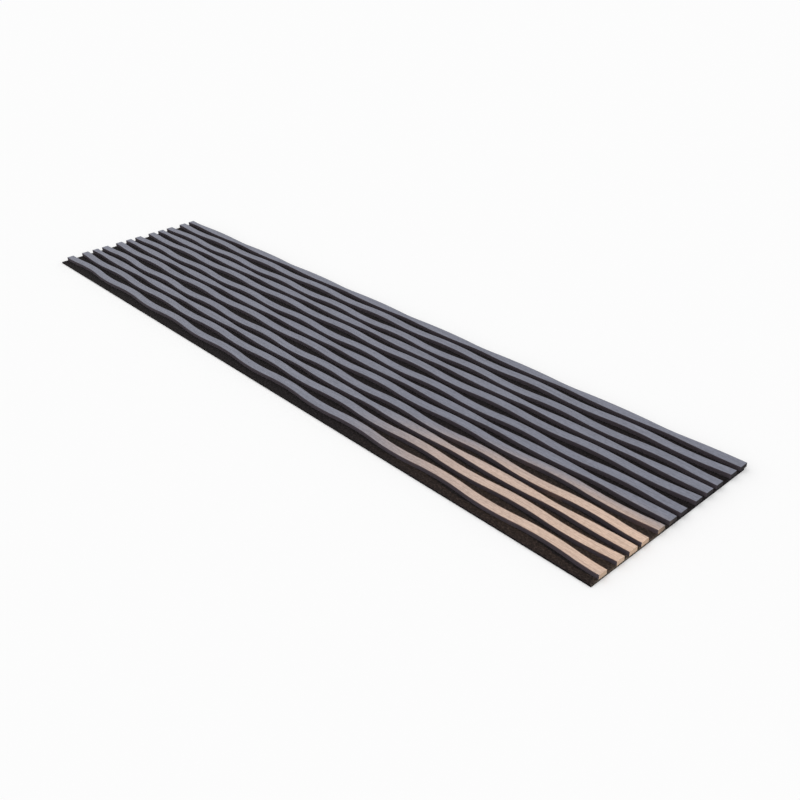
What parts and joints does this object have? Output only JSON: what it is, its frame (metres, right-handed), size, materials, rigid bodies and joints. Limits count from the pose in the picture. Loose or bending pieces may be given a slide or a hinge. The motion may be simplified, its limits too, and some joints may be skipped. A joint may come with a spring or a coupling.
{
  "type": "slatted acoustic wall panel",
  "caption": "Long thin wall panel of wavy grey slats glued side by side on a black polyester felt sheet that damps sound.",
  "frame": {"origin": "centre of the felt's back face, which lies on the wall", "axes": "+X along the panel's length, +Y across it towards the long edge that a slat overhangs, +Z out of the wall"},
  "size_m": [2.65, 0.6109, 0.017],
  "materials": {
    "felt": "matt needled polyester fibre",
    "slat": "satin grey faced board with dark cut sides"
  },
  "bodies": {
    "root": {"felt_backing": "felt", "slat_01": "slat", "slat_02": "slat", "slat_03": "slat", "slat_04": "slat", "slat_05": "slat", "slat_06": "slat", "slat_07": "slat", "slat_08": "slat", "slat_09": "slat", "slat_10": "slat", "slat_11": "slat", "slat_12": "slat"}
  },
  "joints": []
}
